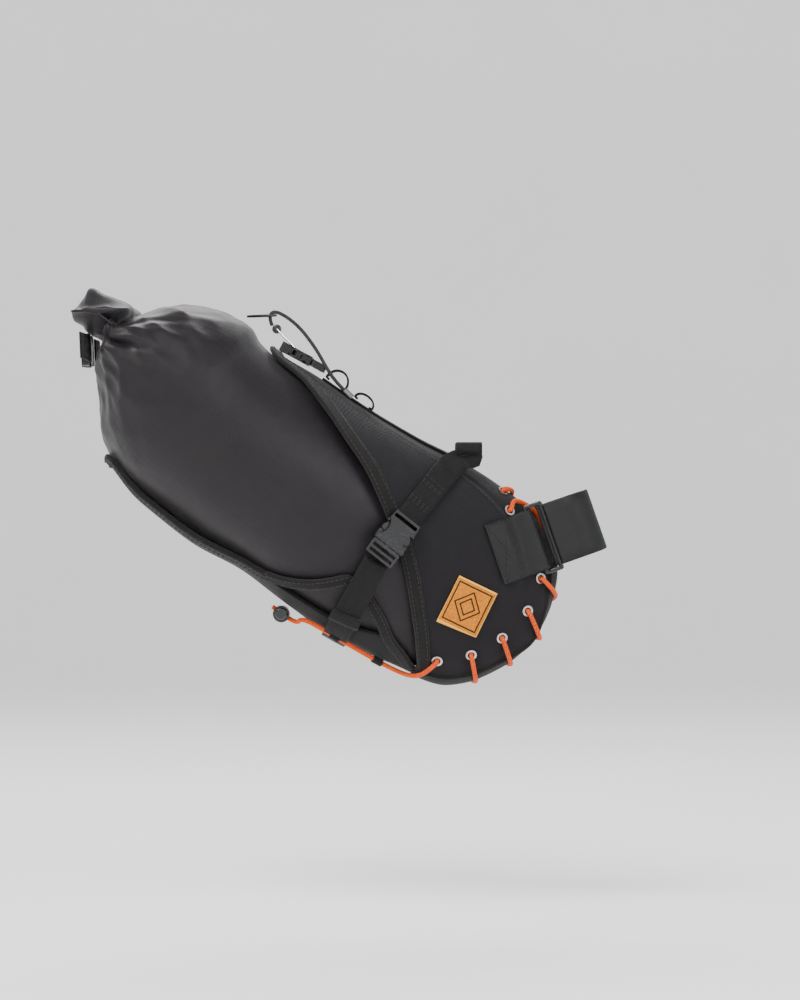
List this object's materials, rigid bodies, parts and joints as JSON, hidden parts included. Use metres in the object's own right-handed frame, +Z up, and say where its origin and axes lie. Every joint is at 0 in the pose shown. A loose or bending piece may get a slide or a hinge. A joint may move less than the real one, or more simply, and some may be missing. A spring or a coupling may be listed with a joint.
{
  "type": "saddle bag",
  "caption": "Laced seatpost holster with a removable roll-top dry bag, strapped to the saddle rails and seatpost of a bicycle.",
  "frame": {"origin": "on the seatpost's axis at the middle of the seatpost strap", "axes": "+X towards the front wheel, +Y to the left of the rider, +Z up; the bag rises to the rear at 38 degrees"},
  "size_m": [0.4063, 0.16, 0.2969],
  "materials": {
    "drybag_fabric": "coated ripstop, satin",
    "cordura": "laminated woven nylon, matt",
    "tongue_board": "stiff coated woven nylon, matt",
    "binding": "ribbed binding tape, matt",
    "webbing": "woven webbing, matt",
    "coated_fabric": "rubber-coated fabric, matt",
    "hook_fabric": "hook tape, matt",
    "buckle_plastic": "moulded acetal, satin",
    "lock_plastic": "moulded, glossy",
    "spring_steel": "bright wire",
    "ferrule_metal": "crimped, satin",
    "eyelet_metal": "satin",
    "lace": "braided cord, matt",
    "black_cord": "braided elastic cord, matt",
    "patch": "woven patch with dark border lines, matt"
  },
  "bodies": {
    "holster": {"cinch_strap_left": "webbing", "cinch_strap_right": "webbing", "cinch_tail_left": "webbing", "cinch_tail_right": "webbing", "cord_ferrule": "ferrule_metal", "cord_lock_barrel": "lock_plastic", "cord_lock_spring": "spring_steel", "eyelets_left": "eyelet_metal", "eyelets_right": "eyelet_metal", "front_piping_left": "binding", "front_piping_right": "binding", "holster_front_gusset": "cordura", "holster_side_left": "cordura", "holster_side_right": "cordura", "holster_tongue": "tongue_board", "holster_top_panel": "cordura", "label_patch": "patch", "lace_cord": "lace", "lace_tabs": "webbing", "rail_strap_left": "webbing", "rail_strap_right": "webbing", "rim_binding_left": "binding", "rim_binding_right": "binding", "seatpost_ring": "buckle_plastic", "seatpost_strap": "coated_fabric", "seatpost_strap_anchor": "coated_fabric", "shock_cord": "black_cord", "side_buckle_socket_left": "buckle_plastic", "side_buckle_socket_right": "buckle_plastic", "strap_keeper_left": "webbing", "strap_keeper_right": "webbing", "tongue_binding": "binding", "top_clip_socket": "buckle_plastic", "top_loops": "webbing", "top_webbing": "webbing"},
    "drybag": {"drybag_body": "drybag_fabric", "drybag_roll": "drybag_fabric", "roll_stiffener": "buckle_plastic", "roll_strap_left": "webbing", "roll_strap_right": "webbing", "roll_clip_socket": "buckle_plastic"},
    "roll_plug": {"roll_clip_plug": "buckle_plastic"},
    "roll_arm_a": {"roll_clip_arm_a": "buckle_plastic"},
    "roll_arm_b": {"roll_clip_arm_b": "buckle_plastic"},
    "top_plug": {"top_clip_plug": "buckle_plastic"},
    "top_arm_a": {"top_clip_arm_a": "buckle_plastic"},
    "top_arm_b": {"top_clip_arm_b": "buckle_plastic"},
    "lock_button": {"cord_lock_button": "lock_plastic"},
    "post_strap_tail": {"seatpost_strap_tail": "coated_fabric", "hook_tape": "hook_fabric"},
    "cord_hook": {"hook_bail": "spring_steel", "cord_bead": "buckle_plastic", "cord_loop": "black_cord"},
    "side_plug_left": {"side_buckle_plug_left": "buckle_plastic"},
    "side_arm_a_left": {"side_buckle_arm_a_left": "buckle_plastic"},
    "side_arm_b_left": {"side_buckle_arm_b_left": "buckle_plastic"},
    "side_plug_right": {"side_buckle_plug_right": "buckle_plastic"},
    "side_arm_a_right": {"side_buckle_arm_a_right": "buckle_plastic"},
    "side_arm_b_right": {"side_buckle_arm_b_right": "buckle_plastic"}
  },
  "joints": [
    {"name": "drybag_slide", "type": "slide", "parent": "holster", "child": "drybag", "axis": [-0.788, 0, 0.6157], "range_m": [0, 0.32]},
    {"name": "side_buckle_right_release", "type": "slide", "parent": "holster", "child": "side_plug_right", "axis": [-0.6015, -0.0909, -0.7937], "range_m": [0, 0.02], "deforming": ["cinch_strap_right", "cinch_tail_right", "side_buckle_arm_a_right", "side_buckle_arm_b_right"]},
    {"name": "side_buckle_right_a_squeeze", "type": "hinge", "parent": "side_plug_right", "child": "side_arm_a_right", "pos_m": [-0.13703, -0.05902, -0.01886], "axis": [0.2248, -0.9726, -0.059], "range_deg": [0, 15], "stiffness_Nm_per_rad": 0.12, "springref_deg": -2.86},
    {"name": "side_buckle_right_b_squeeze", "type": "hinge", "parent": "side_plug_right", "child": "side_arm_b_right", "pos_m": [-0.14976, -0.06257, -0.00881], "axis": [0.2248, -0.9726, -0.059], "range_deg": [-15, 0]},
    {"name": "side_buckle_left_release", "type": "slide", "parent": "holster", "child": "side_plug_left", "axis": [-0.6015, 0.0909, -0.7937], "range_m": [0, 0.02], "deforming": ["cinch_strap_left", "cinch_tail_left", "side_buckle_arm_a_left", "side_buckle_arm_b_left"]},
    {"name": "side_buckle_left_a_squeeze", "type": "hinge", "parent": "side_plug_left", "child": "side_arm_a_left", "pos_m": [-0.13703, 0.05902, -0.01886], "axis": [0.2248, 0.9726, -0.059], "range_deg": [-15, 0], "stiffness_Nm_per_rad": 0.12, "springref_deg": 2.86},
    {"name": "side_buckle_left_b_squeeze", "type": "hinge", "parent": "side_plug_left", "child": "side_arm_b_left", "pos_m": [-0.14976, 0.06257, -0.00881], "axis": [0.2248, 0.9726, -0.059], "range_deg": [0, 15]},
    {"name": "top_clip_release", "type": "slide", "parent": "holster", "child": "top_plug", "axis": [0.8768, 0, -0.4808], "range_m": [0, 0.02], "deforming": ["top_loops", "top_clip_arm_a", "top_clip_arm_b"]},
    {"name": "top_clip_a_squeeze", "type": "hinge", "parent": "top_plug", "child": "top_arm_a", "pos_m": [-0.20203, 0.0083, 0.12636], "axis": [0.4808, 0, 0.8768], "range_deg": [0, 15], "stiffness_Nm_per_rad": 0.12, "springref_deg": -2.86},
    {"name": "top_clip_b_squeeze", "type": "hinge", "parent": "top_plug", "child": "top_arm_b", "pos_m": [-0.20203, -0.0083, 0.12636], "axis": [0.4808, 0, 0.8768], "range_deg": [-15, 0]},
    {"name": "roll_clip_release", "type": "slide", "parent": "drybag", "child": "roll_plug", "axis": [0, -1, 0], "range_m": [0, 0.02], "deforming": ["roll_strap_right", "roll_clip_arm_a", "roll_clip_arm_b"]},
    {"name": "roll_clip_a_squeeze", "type": "hinge", "parent": "roll_plug", "child": "roll_arm_a", "pos_m": [-0.37645, 0.007, 0.14414], "axis": [-0.999, 0, -0.0443], "range_deg": [0, 15], "stiffness_Nm_per_rad": 0.12, "springref_deg": -2.86},
    {"name": "roll_clip_b_squeeze", "type": "hinge", "parent": "roll_plug", "child": "roll_arm_b", "pos_m": [-0.37572, 0.007, 0.12756], "axis": [-0.999, 0, -0.0443], "range_deg": [-15, 0]},
    {"name": "cord_lock_press", "type": "slide", "parent": "holster", "child": "lock_button", "axis": [0, 1, 0], "range_m": [0, 0.003], "stiffness_N_per_m": 400, "springref_m": -0.002, "deforming": ["cord_lock_spring"]},
    {"name": "post_strap_open", "type": "hinge", "parent": "holster", "child": "post_strap_tail", "pos_m": [-0.01842, -0.0185, -0.0064], "axis": [0.328, 0, -0.9447], "range_deg": [0, 60]},
    {"name": "hook_swing", "type": "hinge", "parent": "holster", "child": "cord_hook", "pos_m": [-0.21414, 0, 0.13685], "axis": [0, 1, 0], "range_deg": [0, 60], "deforming": ["shock_cord"]}
  ],
  "couplings": [
    {"joint": "side_buckle_right_b_squeeze", "follows": "side_buckle_right_a_squeeze", "ratio": -1},
    {"joint": "side_buckle_left_b_squeeze", "follows": "side_buckle_left_a_squeeze", "ratio": -1},
    {"joint": "top_clip_b_squeeze", "follows": "top_clip_a_squeeze", "ratio": -1},
    {"joint": "roll_clip_b_squeeze", "follows": "roll_clip_a_squeeze", "ratio": -1}
  ]
}
